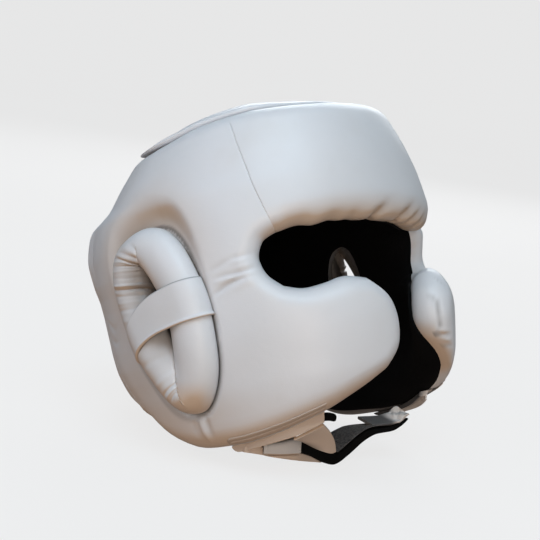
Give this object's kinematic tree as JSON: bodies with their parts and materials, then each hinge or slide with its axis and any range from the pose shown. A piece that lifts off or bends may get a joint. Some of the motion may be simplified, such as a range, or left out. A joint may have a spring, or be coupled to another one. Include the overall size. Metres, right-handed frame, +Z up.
{
  "type": "boxing head guard",
  "caption": "Full-face padded leather boxing head guard with forehead, cheek, ear, back and crown pads, banded ear rings, a dark lining and a chin strap, lying as put down.",
  "frame": {"origin": "centre of the bounding box on the surface the guard lies on, under the head cavity", "axes": "+Z up, -Y towards the face opening, +X towards the wearer's left; the guard lies tipped back by 23 degrees"},
  "size_m": [0.2452, 0.2488, 0.235],
  "materials": {
    "leather": "smooth white grained leather, soft sheen",
    "trim_leather": "thin white binding leather, satin",
    "lining_cloth": "matte black knit lining",
    "strap_loop_cloth": "matte black loop-pile strap"
  },
  "bodies": {
    "root": {"forehead_pad": "leather", "side_panel_right": "leather", "side_panel_left": "leather", "ear_ring_right": "leather", "ear_ring_left": "leather", "ear_band_right": "leather", "ear_band_left": "leather", "back_pad": "leather", "crown_pad": "leather", "lining_forehead": "lining_cloth", "lining_right": "lining_cloth", "lining_left": "lining_cloth", "lining_back": "lining_cloth", "lining_crown": "lining_cloth", "cheek_welt_right": "trim_leather", "cheek_welt_left": "trim_leather", "chin_flap_right": "trim_leather", "chin_flap_left": "trim_leather", "chin_strap": "strap_loop_cloth", "strap_backing": "trim_leather", "strap_keeper": "trim_leather"}
  },
  "joints": []
}
